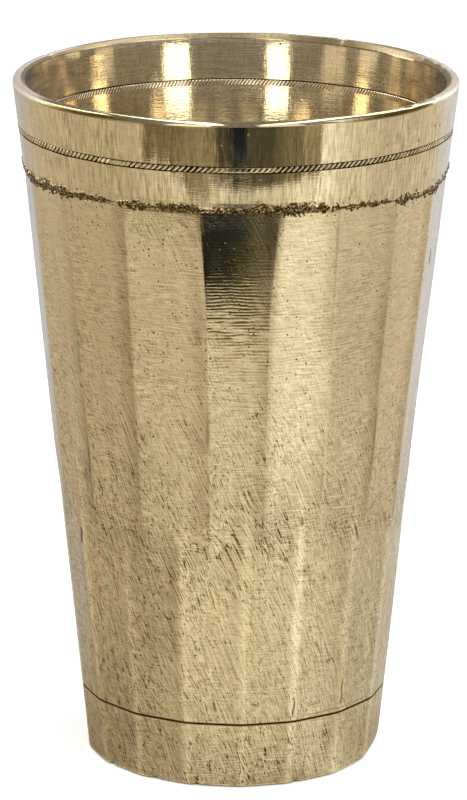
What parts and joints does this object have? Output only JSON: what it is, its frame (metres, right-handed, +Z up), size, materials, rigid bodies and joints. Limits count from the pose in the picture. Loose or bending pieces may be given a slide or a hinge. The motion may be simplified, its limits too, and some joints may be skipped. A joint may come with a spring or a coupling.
{
  "type": "drinking tumbler",
  "caption": "Tapered brass drinking tumbler with a turned, knurled collar, filed flats in two tiers and a faceted foot ring round its base disc.",
  "frame": {"origin": "on the table, under the centre of the foot", "axes": "+Z up along the cup's axis towards the mouth, -Y towards the viewer of the picture, +X to the viewer's right"},
  "size_m": [0.1, 0.1, 0.158],
  "materials": {
    "brass_turned": "turned and buffed, fine lines round it",
    "brass_filed": "filed flats, satin, with fine ripples and scratches",
    "braze_dark": "rough, darkened and pitted"
  },
  "bodies": {
    "root": {"rim_collar": "brass_turned", "collar_braze": "braze_dark", "faceted_body": "brass_filed", "foot_braze": "braze_dark", "foot_ring": "brass_filed", "base_disc": "brass_turned", "base_braze": "braze_dark"}
  },
  "joints": []
}
